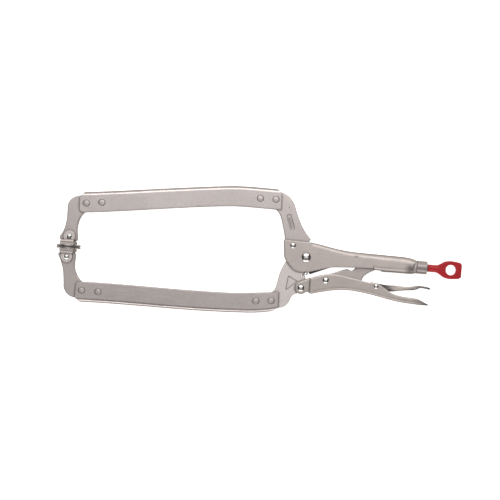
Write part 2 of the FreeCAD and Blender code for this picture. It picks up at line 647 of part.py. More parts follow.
def make_toggle_link():
    nose_x, nose_y = LINK_NOSE
    nose_low = (nose_x + 1.3, nose_y - LINK_NOSE_R + 0.2)
    nose_high = (nose_x - 1.4, nose_y + LINK_NOSE_R - 0.25)
    runs = [
        arc((20.0, -12.7), (17.3, -19.7), (25.6, -24.3)),
        curve((25.6, -24.3), (36.0, -21.8), (48.0, -20.6), (57.0, -20.5)),
        curve((57.0, -20.5), (62.0, -19.2), (64.2, -15.6)),
        curve((64.2, -15.6), (66.4, -10.6), (71.0, -6.8), (78.0, -3.2), nose_low),
        arc(nose_low, (nose_x + LINK_NOSE_R, nose_y), nose_high),
        curve(nose_high, (70.0, 3.4), (61.0, 0.2), (57.0, -1.6)),
        curve((57.0, -1.6), (55.4, -3.4), (53.8, -5.1), (51.8, -5.6), (49.6, -5.2), (48.0, -4.2)),
        straight((48.0, -4.2), (46.0, -4.3)),
        curve((46.0, -4.3), (39.0, -6.9), (32.0, -9.6), (20.0, -12.7)),
    ]
    plate = rounded_plate(runs, LINK_HALF)
    boss = both_sides(disc(LINK_PIVOT, 5.6, LINK_HALF - 0.5, TROUGH_IN - SIDE_GAP))
    return plate.fuse(boss).cut(disc(LINK_PIVOT, LINK_SHANK_R + RUNNING, -THROUGH, THROUGH)).removeSplitter()


def make_release_lever():
    web_top = curve((75.0, -16.9), (83.0, -17.9), (92.0, -19.0), (101.0, -18.9), (108.0, -19.1),
                    (114.0, -19.7), (121.0, -18.9), (129.0, -17.6), (136.0, -17.8), (141.0, -19.0))
    web_low = curve((140.6, -21.1), (136.0, -20.2), (129.0, -20.0), (121.0, -21.3), (114.0, -22.1),
                    (108.0, -21.5), (101.0, -21.1), (92.0, -21.0), (83.0, -19.9), (75.0, -18.7))
    ends = [straight((141.0, -19.0), (140.6, -21.1)), straight((75.0, -18.7), (75.0, -16.9))]
    web = slab([web_top, web_low] + ends, -LEVER_OUT, LEVER_OUT)
    cheek_in = LEVER_OUT - SHEET_LEVER
    web = web.cut(disc(LEVER_PIVOT, 2.6, -cheek_in, cheek_in))
    cheek_runs = [
        straight((75.0, -17.4), (80.0, -18.2)),
        curve((80.0, -18.2), (88.0, -19.4), (98.0, -20.0), (112.0, -20.6), (121.0, -20.1), (131.0, -18.8)),
        curve((131.0, -18.8), (122.0, -22.7), (114.0, -23.6), (106.0, -24.8), (96.0, -25.9), (88.0, -24.8)),
        curve((88.0, -24.8), (80.0, -25.2), (71.0, -25.6), (64.6, -25.4)),
        curve((64.6, -25.4), (63.3, -24.6), (64.4, -23.6)),
        curve((64.4, -23.6), (70.0, -22.4), (75.0, -17.4)),
    ]
    cheek = slab(cheek_runs, cheek_in, LEVER_OUT)
    toe = block(63.9, 67.4, -25.2, -23.7, -LEVER_OUT + 0.5, LEVER_OUT - 0.5)
    body = web.fuse([cheek, mirrored_z(cheek), toe])
    body = body.cut(disc(LEVER_PIVOT, LEVER_SHANK_R + RUNNING, -THROUGH, THROUGH))
    return body.removeSplitter()


# ---- pads and spring ---------------------------------------------------------------------------


def pad_disc(side):
    """The round pad itself, with both rims rounded."""
    face = side * 0.5 * PAD_GAP
    plate = Part.makeCylinder(PAD_R, PAD_THICK, V(PAD_CENTRE_X, face, 0), V(0, side, 0))
    plate = rounded(plate, 0.5, edges_where(plate, lambda m, e: is_rim(e) and abs(m.y) > 1.0))
    return rounded(plate, 0.8, edges_where(plate, lambda m, e: is_rim(e) and abs(m.y) < 1.0))


def is_rim(edge):
    """True for a wide round edge that lies level with the pad's face."""
    return edge.BoundBox.YLength < 1e-3 and edge.BoundBox.XLength > 2.0 * PAD_R - 1.5


def pad_ear(pin, side):
    """One ear of the clevis, flat, from the disc up to its round top on the pin."""
    ear_in = PLATE_HALF + SIDE_GAP
    ear_out = ear_in + PAD_EAR
    reach = math.sqrt(PAD_EAR_R ** 2 - PAD_EAR_FOOT ** 2)
    shoulder = pin[1] - side * PAD_EAR_FOOT
    low_left = (PAD_CENTRE_X - PAD_BASE_HALF, side * PAD_THICK)
    low_right = (PAD_CENTRE_X + PAD_BASE_HALF, side * PAD_THICK)
    runs = [
        straight(low_left, (low_left[0], side * 5.0), (pin[0] - reach, shoulder)),
        arc((pin[0] - reach, shoulder), (pin[0], pin[1] + side * PAD_EAR_R), (pin[0] + reach, shoulder)),
        straight((pin[0] + reach, shoulder), (low_right[0], side * 5.0), low_right, low_left),
    ]
    ear = slab(runs, ear_in, ear_out)
    return rounded(ear, 0.5, level_edges(ear, ear_out))


def pad_foot(side):
    """The raised foot that each ear stands in."""
    low, high = PAD_FOOT_HALF
    left, right = PAD_FOOT_CENTRE_X - low, PAD_FOOT_CENTRE_X + low
    top = side * PAD_FOOT_TOP
    corners = [(left, side * 1.2), (right, side * 1.2),
               (PAD_FOOT_CENTRE_X + high, top), (PAD_FOOT_CENTRE_X - high, top)]
    foot = polygon_slab(corners, PLATE_HALF + SIDE_GAP, PAD_FOOT_OUT)
    foot = rounded(foot, 0.9, edges_where(foot, lambda m, e: e.BoundBox.ZLength > 1.0 and abs(m.y) > 5.0))
    foot = rounded(foot, 0.8, level_edges(foot, PAD_FOOT_OUT))
    line = sorted(side * y for y in PAD_FOOT_LINE)
    return foot.cut(block(left - 1.0, right + 1.0, *line, PAD_FOOT_OUT - PAD_FOOT_LINE_DEPTH, THROUGH))


def make_pad(pin, side):
    """A round pad with a clevis; side is +1 above the contact plane and -1 below it."""
    low = min(side * PAD_THICK, side * PAD_BASE_TOP)
    high = max(side * PAD_THICK, side * PAD_BASE_TOP)
    reach = PLATE_HALF + 1.0
    base = block(PAD_CENTRE_X - PAD_BASE_HALF, PAD_CENTRE_X + PAD_BASE_HALF, low, high, -reach, reach)
    cheek = pad_ear(pin, side).fuse(pad_foot(side))
    body = pad_disc(side).fuse([cheek, mirrored_z(cheek), base])
    return body.cut(disc(pin, PAD_PIN_R, -THROUGH, THROUGH)).removeSplitter()


def make_return_spring():
    """Outer shape of the extension spring's coils, between its two hooks."""
    start = point(SPRING_HOOK)
    end = point(SPRING_ANCHOR)
    along = (end - start).normalize()
    length = start.distanceToPoint(end) - SPRING_START - SPRING_END
    return Part.makeCylinder(SPRING_R, length, start + along * SPRING_START, along)


def make_nodes():
    pad_grip = PLATE_HALF + SIDE_GAP + PAD_EAR
    nodes = {
        "fixed_handle": make_fixed_handle(),
        "screw_collar": make_screw_collar(),
        "screw_tip": make_screw_tip(),
        "adjusting_screw": make_adjusting_screw(),
        "screw_loop": make_screw_loop(),
        "upper_jaw_root": make_upper_jaw_root(),
        "upper_channel": make_upper_channel(),
        "upper_jaw_tip": make_upper_jaw_tip(),
        "lower_jaw_root": make_lower_jaw_root(),
        "lower_channel": make_lower_channel(),
        "lower_jaw_tip": make_lower_jaw_tip(),
        "moving_handle": make_moving_handle(),
        "toggle_link": make_toggle_link(),
        "release_lever": make_release_lever(),
        "upper_pad": make_pad(UPPER_PAD_PIN, 1),
        "lower_pad": make_pad(LOWER_PAD_PIN, -1),
        "main_pivot_rivet": domed_rivet(MAIN_PIVOT, MAIN_SHANK_R, MAIN_HEAD, HANDLE_OUT),
        "fixed_jaw_rivet": domed_rivet(FIXED_JAW_RIVET, SMALL_SHANK_R, SMALL_HEAD, HANDLE_OUT),
        "handle_pivot_rivet": domed_rivet(HANDLE_PIVOT, HANDLE_SHANK_R, HANDLE_HEAD, EAR_OUT + 0.05),
        "link_pivot_rivet": domed_rivet(LINK_PIVOT, LINK_SHANK_R, LINK_HEAD, TROUGH_OUT),
        "release_lever_rivet": domed_rivet(LEVER_PIVOT, LEVER_SHANK_R, LEVER_HEAD, TROUGH_OUT),
        "upper_pad_pin": domed_rivet(UPPER_PAD_PIN, PAD_PIN_R, PAD_PIN_HEAD, pad_grip),
        "lower_pad_pin": domed_rivet(LOWER_PAD_PIN, PAD_PIN_R, PAD_PIN_HEAD, pad_grip),
        "spring_anchor_pin": make_spring_anchor_pin(),
        "return_spring": make_return_spring(),
    }
    for number, centre in enumerate(UPPER_CHANNEL_RIVETS, 1):
        nodes["upper_channel_rivet_%d" % number] = flush_rivet(centre)
    for number, centre in enumerate(LOWER_CHANNEL_RIVETS, 1):
        nodes["lower_channel_rivet_%d" % number] = flush_rivet(centre)
    return nodes


def main():
    os.makedirs("parts", exist_ok=True)
    nodes = make_nodes()
    whole = Part.makeCompound(list(nodes.values())).optimalBoundingBox(False, False)
    shift = V(-0.5 * (whole.XMin + whole.XMax), -0.5 * (whole.YMin + whole.YMax), -whole.ZMin)
    print("box", [round(v, 2) for v in (whole.XLength, whole.YLength, whole.ZLength)])
    print("shift", [round(v, 4) for v in shift])
    for name, shape in nodes.items():
        moved = shape.copy()
        moved.translate(shift)
        solids = len(moved.Solids)
        print("%-24s solids %d valid %s volume %.0f" % (name, solids, moved.isValid(), moved.Volume))
        moved.exportStep("parts/%s.step" % name)


main()
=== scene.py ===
"""Looks of the locking C clamp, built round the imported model.

Metres, in the frame's axes. The clamp lies on its side: X runs from the pads to the screw's loop, Y from
the lower arm to the upper one, and Z up from the floor to the camera.
"""
import json
import math

import bmesh
import bpy
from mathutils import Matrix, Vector


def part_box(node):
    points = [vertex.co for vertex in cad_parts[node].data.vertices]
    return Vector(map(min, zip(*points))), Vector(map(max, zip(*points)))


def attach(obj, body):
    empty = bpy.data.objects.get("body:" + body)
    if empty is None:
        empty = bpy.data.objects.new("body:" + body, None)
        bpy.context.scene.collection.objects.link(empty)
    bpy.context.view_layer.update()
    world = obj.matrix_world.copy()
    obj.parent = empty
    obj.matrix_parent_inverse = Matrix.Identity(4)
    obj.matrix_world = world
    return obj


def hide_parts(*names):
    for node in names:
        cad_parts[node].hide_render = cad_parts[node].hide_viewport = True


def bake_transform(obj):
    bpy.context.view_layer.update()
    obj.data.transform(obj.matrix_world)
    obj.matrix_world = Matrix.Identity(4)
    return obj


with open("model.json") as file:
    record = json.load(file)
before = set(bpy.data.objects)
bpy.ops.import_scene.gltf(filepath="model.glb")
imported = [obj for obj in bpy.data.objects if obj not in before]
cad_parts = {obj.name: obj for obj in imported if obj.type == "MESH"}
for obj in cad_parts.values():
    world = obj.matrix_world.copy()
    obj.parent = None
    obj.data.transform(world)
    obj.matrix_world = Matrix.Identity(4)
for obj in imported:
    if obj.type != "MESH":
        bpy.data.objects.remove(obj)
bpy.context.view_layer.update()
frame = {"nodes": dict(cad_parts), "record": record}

# ---- places, from the frame --------------------------------------------------------------------

JOINTS = {joint["name"]: joint for joint in frame["record"]["behaviour"]["joints"]}


def joint_point(name):
    """The point that a joint turns about."""
    return Vector(JOINTS[name]["pos_m"])


def box_corners(node):
    """The least and the greatest corner of a node's box."""
    return tuple(Vector(corner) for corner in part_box(node))


def box_centre(node):
    """The middle of a node's box."""
    low, high = box_corners(node)
    return (low + high) / 2


def far_corner(node):
    """The corner of a node's box at its greatest X and least Y, at mid depth."""
    low, high = box_corners(node)
    return Vector((high.x, low.y, 0.5 * (low.z + high.z)))


UP = Vector((0.0, 0.0, 1.0))
MAIN_PIVOT = joint_point("jaw_open")
MIDDLE_Z = MAIN_PIVOT.z
SCREW_AXIS = Vector(JOINTS["screw_turn"]["axis"]).normalized()
SCREW_ORIGIN = joint_point("screw_turn")
LEVER_PIVOT = joint_point("lever_press")
LEVER_ROOT = LEVER_PIVOT + Vector((0.009, -0.001, 0.0))
# Where the painted highlight on the release lever is centred.
LEVER_HIGHLIGHT_SPOT = LEVER_PIVOT + Vector((0.030, 0.001, 0.0))
LEVER_TIP = far_corner("release_lever") + Vector((0.0, 0.004, 0.0))
TAIL_TIP = far_corner("moving_handle")
CRIMP_PLACE = box_centre("screw_collar") + Vector((-0.0075, -0.003, 0.0068))
PAD_FACES_Y = 0.5 * (box_centre("upper_pad").y + box_centre("lower_pad").y)

# ---- tones -------------------------------------------------------------------------------------

# Painted shade: the dark brown that edges and upright faces take.
EDGE_SHADE_TONE = (0.13, 0.096, 0.076)
# Painted highlight on edges that face +Y, the side the light comes from.
TOP_EDGE_HIGHLIGHT = (0.88, 0.83, 0.78)
GRAZING_TINT = (0.60, 0.53, 0.48)
# Painted shade for corners between pieces, where little light reaches.
CORNER_SHADE_TONE = (0.10, 0.082, 0.070)
# Deeper painted shade: at the crimp, the handle's tip, the gap between the pads and the lever's ends.
DEEP_SHADE_TONE = (0.022, 0.017, 0.014)
# Painted reflection: the dark and bright streaks along the release lever.
DARK_REFLECTION_STREAK = (0.06, 0.054, 0.056)
BRIGHT_REFLECTION_STREAK = (0.52, 0.47, 0.45)
# Painted highlight on the release lever.
LEVER_HIGHLIGHT_TONE = (0.60, 0.54, 0.50)
WHITE = (1.0, 1.0, 1.0)
STUDIO_WHITE = (1.0, 0.99, 0.98)

# ---- node trees --------------------------------------------------------------------------------


class Tree:
    """Short calls for building one node tree. A value is a number, a vector, a tone or a node's output."""

    def __init__(self, owner):
        owner.use_nodes = True
        self.nodes = owner.node_tree.nodes
        self.links = owner.node_tree.links
        self.nodes.clear()

    def fill(self, socket, value):
        """Gives a socket its value."""
        if isinstance(value, bpy.types.NodeSocket):
            self.links.new(value, socket)
        elif socket.type == "RGBA":
            socket.default_value = (*value, 1.0)
        else:
            socket.default_value = value

    def add(self, kind, inputs=None, **settings):
        """A new node, with its settings and then its inputs, which go by name or number."""
        node = self.nodes.new("ShaderNode" + kind)
        for name, setting in settings.items():
            setattr(node, name, setting)
        for key, value in (inputs or {}).items():
            self.fill(node.inputs[key], value)
        return node

    def math(self, operation, a, b=0.0):
        """One sum. b does nothing where the operation takes a single value."""
        return self.add("Math", {0: a, 1: b}, operation=operation).outputs["Value"]

    def times(self, a, b):
        return self.math("MULTIPLY", a, b)

    def component(self, vector, axis):
        """The part of a vector that lies along X, Y or Z."""
        return self.add("SeparateXYZ", {0: vector}).outputs[axis]

    def spread(self, value, low, high, start=0.3, end=0.7, **settings):
        """A value from start to end becomes one from low to high."""
        inputs = {"Value": value, "From Min": start, "From Max": end, "To Min": low, "To Max": high}
        return self.add("MapRange", inputs, **settings).outputs["Result"]


class MaterialTree(Tree):
    """One material's node tree, with its shader and the piece's own coordinates and normal."""

    def __init__(self, name):
        self.material = bpy.data.materials.new(name)
        super().__init__(self.material)
        self.shader = self.add("BsdfPrincipled")
        self.add("OutputMaterial", {"Surface": self.shader.outputs["BSDF"]})
        own = self.add("TexCoord")
        self.where = own.outputs["Object"]
        self.own_normal = own.outputs["Normal"]

    def stretched(self, scale):
        """The piece's coordinates, scaled so that a noise stretches along the axes with a small scale."""
        return self.add("Mapping", {"Vector": self.where, "Scale": scale}).outputs["Vector"]

    def noise(self, scale, detail=3.0, rough=0.55, vector=None):
        """Cloudy noise, with about as many features to the metre as its scale."""
        inputs = {"Scale": scale, "Detail": detail, "Roughness": rough, "Vector": vector or self.where}
        return self.add("TexNoise", inputs).outputs["Fac"]

    def mixed(self, factor, a, b):
        """Goes from a to b as the factor goes from 0 to 1."""
        return self.add("Mix", {"Factor": factor, "A": a, "B": b}, data_type="RGBA").outputs["Result"]

    def bump(self, height, strength, distance, after=None):
        """A normal with a relief on it, or on the normal it comes after."""
        inputs = {"Height": height, "Strength": strength, "Distance": distance}
        if after is not None:
            inputs["Normal"] = after
        return self.add("Bump", inputs).outputs["Normal"]

    def done(self, **values):
        """Fills the shader's sockets, whose names have _ for a space here, and gives the material."""
        for name, value in values.items():
            self.fill(self.shader.inputs[name.replace("_", " ")], value)
        return self.material


# ---- where painted shade and painted highlights go on a surface --------------------------------

RAY_SAMPLES = 6

# Where each measure starts and stops fading: the cosine between the rounded normal and the flat one, the
# normal's Y on a lit edge, the share of open sky, and the normal's Y on a pad's rim and on its face.
EDGE_BEND = (0.80, 0.985)
LEANS_UP = (0.05, 0.45)
OPEN_SKY = (0.35, 0.95)
OFF_THE_FACE = (0.85, 0.98)

# The share of a round patch's reach, and of a layer's half thickness, that has its full strength.
PATCH_CORE = 0.25
LAYER_CORE = 0.6


def soft_edges(n, radius):
    """The normal with every edge rounded off, and 1 near an edge and 0 away from it."""
    rounded = n.add("Bevel", {"Radius": radius}, samples=RAY_SAMPLES).outputs["Normal"]
    flat = n.add("NewGeometry").outputs["Normal"]
    bend = n.add("VectorMath", {0: rounded, 1: flat}, operation="DOT_PRODUCT").outputs["Value"]
    return rounded, n.spread(bend, 1.0, 0.0, *EDGE_BEND)


def upright(n, start, end):
    """1 where the surface stands upright, as a stamped plate's cut edge does, and 0 where it lies flat."""
    normal = n.add("NewGeometry").outputs["Normal"]
    return n.spread(n.math("ABSOLUTE", n.component(normal, "Z")), 1.0, 0.0, start, end)


def facing_down(n, normal):
    """0 where a normal leans towards +Y, 1 elsewhere."""
    return n.spread(n.component(normal, "Y"), 1.0, 0.0, *LEANS_UP)


def crevice(n, reach):
    """1 deep in a corner between two pieces, 0 in the open."""
    sky = n.add("AmbientOcclusion", {"Distance": reach}, samples=RAY_SAMPLES).outputs["AO"]
    return n.spread(sky, 1.0, 0.0, *OPEN_SKY)


def near_point(n, point, reach):
    """1 at a point of the piece, fading to 0 at the given distance from it."""
    gap = n.add("VectorMath", {0: n.where, 1: point}, operation="DISTANCE").outputs["Value"]
    return n.spread(gap, 1.0, 0.0, PATCH_CORE * reach, reach)


def near_plane(n, height, half):
    """1 within a thin layer about a level of Y, 0 beyond it."""
    gap = n.math("ABSOLUTE", n.math("SUBTRACT", n.component(n.where, "Y"), height))
    return n.spread(gap, 1.0, 0.0, LAYER_CORE * half, half)


def shade_patch(n, place, reach, scale, cover):
    """Uneven painted shade round a place, as strong as its cover says: the least and the most of it."""
    return n.times(near_point(n, place, reach), n.spread(n.noise(scale), *cover))


def crimp_shade(n):
    """Uneven painted shade round the crimp at the rear of the fixed handle."""
    return shade_patch(n, CRIMP_PLACE, reach=0.0072, scale=220.0, cover=(0.45, 0.80))


def tail_shade(n):
    """Uneven painted shade over the moving handle's tip."""
    return shade_patch(n, TAIL_TIP, reach=0.022, scale=180.0, cover=(0.5, 0.9))


def pad_gap_shade(n):
    """Painted shade on the rims of the two working faces, in the gap where they meet. The faces themselves
    are not darkened.
    """
    off_face = n.spread(n.math("ABSOLUTE", n.component(n.own_normal, "Y")), 1.0, 0.0, *OFF_THE_FACE)
    rim = n.times(near_plane(n, PAD_FACES_Y, half=0.0014), off_face)
    return n.times(rim, n.spread(n.noise(scale=300.0), low=0.85, high=1.0))


# ---- materials ---------------------------------------------------------------------------------

# How a noise's coordinates are scaled along X, Y and Z.
EVEN = (1.0, 1.0, 1.0)
LENGTHWISE = (0.06, 1.0, 1.0)
LONG_STREAKS = (0.16, 1.0, 1.0)

# The plate's noises, as scale, detail and roughness, and the stretches of them that are spread out.
BROAD_CLOUDS = (9.0, 2.0)
SMALL_CLOUDS = (60.0, 5.0, 0.6)
CLOUD_STRETCH = (0.36, 0.64)
SPECKS = (700.0, 4.0, 0.75)
SPECK_STRETCH = (0.42, 0.72)
# The noise that makes the painted edge shade uneven.
EDGE_SHADE_NOISE = (120.0, 3.0)
DRAWN_LINES = (900.0, 3.0, 0.6)
GRAIN = (1500.0, 2.0, 0.5)

BROAD_SHARE = 0.6
SPECK_COVER = 0.55
SPECK_SHADE = 0.80
# The least strength of the painted edge shade.
LEAST_EDGE_SHADE = 0.7
CREVICE_REACH = 0.0025
RELIEF = 0.25
LINE_DEPTH = 0.00006
GRAIN_DEPTH = 0.00008
LINE_ROUGHNESS = 0.05
CLOUD_ROUGHNESS = (-0.02, 0.03)
EDGE_ROUGHNESS = 0.08


def clouds(n):
    """Slow change of tone over the plate, from broad and small clouds together."""
    broad = n.times(n.noise(*BROAD_CLOUDS), BROAD_SHARE)
    small = n.times(n.noise(*SMALL_CLOUDS), 1.0 - BROAD_SHARE)
    return n.spread(n.math("ADD", broad, small), 0.0, 1.0, *CLOUD_STRETCH)


def plated_steel(name, light, dark, rough, brushed=EVEN, edge=EDGE_SHADE_TONE, cut=0.8, edge_radius=0.0009,
                 steep=(0.25, 0.8), matt=0.0, bright_top=False, corner_shade=0.9, painted_shade=None):
    """Satin nickel plate: cloudy tone, fine grain, faint drawn lines, painted shade at the edges and in the
    corners.

    light, dark: the clouds' tones. rough: the mean roughness. brushed: how the drawn lines stretch.
    edge: the tone of the painted shade at an edge. edge_radius: how wide an edge is rounded and shaded.
    steep: the Z of a normal up to which a face counts as upright, and from which it counts as flat.
    cut, matt: how much painted edge shade upright faces take, and how much of their metal's shine they lose.
    bright_top: edges towards +Y get a painted highlight instead. soot: how dark the painted shade in the
    corners is.
    grime: a function that says where more shade is painted.
    """
    n = MaterialTree(name)
    cloud = clouds(n)
    tone = n.mixed(cloud, dark, light)
    specks = n.spread(n.noise(*SPECKS), 0.0, SPECK_COVER, *SPECK_STRETCH)
    tone = n.mixed(specks, tone, tuple(part * SPECK_SHADE for part in dark))
    normal, near_edge = soft_edges(n, edge_radius)
    # Painted shade along every edge, uneven, in the edge's tone.
    edge_shade = n.times(near_edge, n.spread(n.noise(*EDGE_SHADE_NOISE), LEAST_EDGE_SHADE, 1.0))
    # Upright faces take painted shade in the edge's tone as well.
    stands = upright(n, *steep)
    tone = n.mixed(n.times(stands, cut), tone, edge)
    # Edges facing +Y get a painted highlight; the painted edge shade stays on the others.
    if bright_top:
        low_side = facing_down(n, normal)
        top_highlight = n.times(near_edge, n.math("SUBTRACT", 1.0, low_side))
        tone = n.mixed(top_highlight, tone, TOP_EDGE_HIGHLIGHT)
        edge_shade = n.times(edge_shade, low_side)
    tone = n.mixed(edge_shade, tone, edge)
    # Painted shade in corners between pieces, which also takes away the metal's shine there.
    dull = n.times(crevice(n, CREVICE_REACH), corner_shade)
    tone = n.mixed(dull, tone, CORNER_SHADE_TONE)
    # More painted shade, where the given function puts it; it also takes away the metal's shine.
    if painted_shade is not None:
        extra_shade = painted_shade(n)
        tone = n.mixed(extra_shade, tone, DEEP_SHADE_TONE)
        dull = n.math("MAXIMUM", dull, extra_shade)
    if matt > 0.0:
        dull = n.math("MAXIMUM", dull, n.times(stands, matt))
    lines = n.noise(*DRAWN_LINES, n.stretched(brushed))
    line_rough = n.spread(lines, rough - LINE_ROUGHNESS, rough + LINE_ROUGHNESS)
    cloud_rough = n.spread(cloud, *CLOUD_ROUGHNESS, 0.0, 1.0)
    even_rough = n.math("ADD", line_rough, cloud_rough)
    relief = n.bump(lines, RELIEF, LINE_DEPTH, normal)
    relief = n.bump(n.noise(*GRAIN), RELIEF, GRAIN_DEPTH, relief)
    return n.done(Base_Color=tone, Metallic=n.math("SUBTRACT", 1.0, dull),
                  Roughness=n.math("ADD", even_rough, n.times(near_edge, EDGE_ROUGHNESS)),
                  Normal=relief, Specular_Tint=GRAZING_TINT)


def drawn_steel():
    """The release lever's bright sheet: painted reflection streaks, a painted highlight, painted shade at its
    root and tip.
    """
    n = MaterialTree("drawn_steel")
    # Painted reflection: dark and bright streaks stretched along the lever, which also vary its roughness.
    reflection_streak = n.noise(scale=260.0, rough=0.6, vector=n.stretched(LONG_STREAKS))
    tone = n.mixed(n.spread(reflection_streak, 0.0, 1.0, start=0.40, end=0.62), DARK_REFLECTION_STREAK, BRIGHT_REFLECTION_STREAK)
    normal, near_edge = soft_edges(n, radius=0.0008)
    corner = crevice(n, reach=0.004)
    # A painted highlight ahead of the lever's pivot.
    highlight_patch = near_point(n, LEVER_HIGHLIGHT_SPOT, reach=0.017)
    shaded_ends = n.math("MAXIMUM", near_point(n, LEVER_ROOT, reach=0.012), near_point(n, LEVER_TIP, reach=0.015))
    # Painted shade at the edges and in the corners, a painted highlight, and deeper painted shade at the root
    # and tip.
    for place, strength, cover in ((near_edge, 0.8, EDGE_SHADE_TONE), (corner, 0.9, CORNER_SHADE_TONE),
                                   (highlight_patch, 0.6, LEVER_HIGHLIGHT_TONE), (shaded_ends, 0.85, DEEP_SHADE_TONE)):
        tone = n.mixed(n.times(place, strength), tone, cover)
    relief = n.bump(n.noise(scale=1200.0, detail=2.0), strength=0.2, distance=0.00006, after=normal)
    return n.done(Base_Color=tone, Roughness=n.spread(reflection_streak, low=0.30, high=0.20), Metallic=1.0,
                  Normal=relief, Specular_Tint=GRAZING_TINT)


def simple_finish(name, tones, cloud, rough, rough_noise, relief, bumps, **values):
    """A finish of two clouded tones, with uneven roughness and a fine relief.

    cloud, rough_noise and relief are each a noise's scale and detail. bumps: the relief's strength and depth.
    """
    n = MaterialTree(name)
    return n.done(Base_Color=n.mixed(n.spread(n.noise(*cloud), 0.0, 1.0), *tones),
                  Roughness=n.spread(n.noise(*rough_noise), *rough),
                  Normal=n.bump(n.noise(*relief), *bumps), **values)


def polished_rivet():
    """Bright domed head of a rivet."""
    return simple_finish("polished_rivet", tones=((0.66, 0.63, 0.61), (0.78, 0.76, 0.74)), cloud=(350.0, 3.0),
                         rough=(0.10, 0.20), rough_noise=(2200.0, 2.0), relief=(700.0, 2.0),
                         bumps=(0.15, 0.00008), Metallic=1.0)


def red_grip():
    """Satin red plastic of the screw's loop."""
    return simple_finish("red_grip", tones=((0.36, 0.0055, 0.010), (0.46, 0.008, 0.0145)), cloud=(60.0, 4.0),
                         rough=(0.34, 0.48), rough_noise=(1800.0, 2.0), relief=(1300.0, 3.0),
                         bumps=(0.2, 0.00008), Specular_IOR_Level=0.35)


def spring_wire():
    """Drawn spring wire, darker than the plate round it."""
    return simple_finish("spring_wire", tones=((0.16, 0.15, 0.14), (0.30, 0.29, 0.28)), cloud=(500.0, 3.0),
                         rough=(0.24, 0.36), rough_noise=(2500.0, 2.0), relief=(3000.0, 2.0),
                         bumps=(0.1, 0.00005), Metallic=1.0)


FLOOR_GLOW = 0.80
FLOOR_GREYS = ((0.80, 0.80, 0.80), (0.83, 0.83, 0.83))


def floor_paint():
    """White table that is lit a little from inside, as a product photographer's light table is."""
    n = MaterialTree("floor_paint")
    cloud = n.spread(n.noise(scale=3.0, detail=2.0), 0.0, 1.0)
    return n.done(Base_Color=n.mixed(cloud, *FLOOR_GREYS), Roughness=0.9, Specular_IOR_Level=0.1,
                  Emission_Color=WHITE, Emission_Strength=FLOOR_GLOW)


# What plates of one kind share, then the plates of each material slot, and of nodes with a look of their own,
# two of them with painted light or shade.
THICK_PLATE = {"rough": 0.40, "steep": (0.5, 0.95)}
MATT_PLATE = {**THICK_PLATE, "matt": 0.55}
CHANNEL = {"rough": 0.30, "brushed": LENGTHWISE, "steep": (0.6, 0.86), "corner_shade": 0.55}

SLOT_PLATES = {
    "handle_steel": dict(light=(0.63, 0.565, 0.535), dark=(0.53, 0.475, 0.45), rough=0.52, brushed=LENGTHWISE,
                         steep=(0.5, 0.88), edge_radius=0.0018, matt=0.6, bright_top=True, painted_shade=crimp_shade),
    "channel_steel": dict(light=(0.57, 0.520, 0.505), dark=(0.48, 0.435, 0.423), **CHANNEL),
    "jaw_steel": dict(light=(0.575, 0.522, 0.508), dark=(0.49, 0.444, 0.431), **MATT_PLATE),
    "link_steel": dict(light=(0.58, 0.520, 0.500), dark=(0.49, 0.440, 0.42), **THICK_PLATE),
    "collar_steel": dict(light=(0.38, 0.335, 0.32), dark=(0.30, 0.265, 0.25), rough=0.46, cut=0.3),
    "screw_steel": dict(light=(0.42, 0.40, 0.38), dark=(0.32, 0.30, 0.29), rough=0.30, cut=0.3),
    "pad_steel": dict(light=(0.62, 0.560, 0.540), dark=(0.53, 0.477, 0.460), rough=0.26, cut=0.85,
                      edge_radius=0.0005, steep=(0.3, 0.95), corner_shade=0.55, painted_shade=pad_gap_shade),
    "flush_rivet_steel": dict(light=(0.60, 0.54, 0.52), dark=(0.52, 0.465, 0.445), rough=0.48,
                              edge=(0.38, 0.338, 0.322), cut=0.2, corner_shade=0.45),
}
NODE_PLATES = {
    "upper_jaw_root": dict(light=(0.61, 0.555, 0.54), dark=(0.52, 0.472, 0.458), corner_shade=0.6, **MATT_PLATE),
    # Painted light: a much brighter copy of the jaw's tones.
    "lower_jaw_root": dict(light=(0.74, 0.68, 0.66), dark=(0.66, 0.60, 0.585), **MATT_PLATE),
    # Painted shade: a darker copy of the channel's tones, so the lower arm is darker than the upper one.
    "lower_channel": dict(light=(0.53, 0.480, 0.468), dark=(0.45, 0.405, 0.395), **CHANNEL),
    "moving_handle": dict(light=(0.565, 0.508, 0.48), dark=(0.47, 0.422, 0.398), rough=0.45,
                          brushed=LENGTHWISE, steep=(0.6, 0.93), edge_radius=0.0025, matt=0.9,
                          bright_top=True, painted_shade=tail_shade),
    "spring_anchor_pin": dict(light=(0.60, 0.540, 0.512), dark=(0.51, 0.457, 0.434), rough=0.52,
                              edge=(0.50, 0.45, 0.43), cut=0.2),
}

SLOT_MATERIALS = {slot: plated_steel(slot, **plate) for slot, plate in SLOT_PLATES.items()}
SLOT_MATERIALS["lever_steel"] = drawn_steel()
SLOT_MATERIALS["rivet_steel"] = polished_rivet()
SLOT_MATERIALS["spring_steel"] = spring_wire()
SLOT_MATERIALS["red_grip"] = red_grip()
NODE_MATERIALS = {node: plated_steel(node + "_steel", **plate) for node, plate in NODE_PLATES.items()}


def dress_cad_nodes():
    """Gives every carried-over node its own material, or the one of its slot."""
    slot_of = {entry["node"]: entry["material_slot"] for entry in frame["record"]["subparts"]}
    for name, obj in frame["nodes"].items():
        obj.data.materials.clear()
        obj.data.materials.append(NODE_MATERIALS.get(name) or SLOT_MATERIALS[slot_of[name]])


# ---- meshes ------------------------------------------------------------------------------------


def circle(count):
    """The angles of points spaced evenly round a circle."""
    return [2 * math.pi * k / count for k in range(count)]


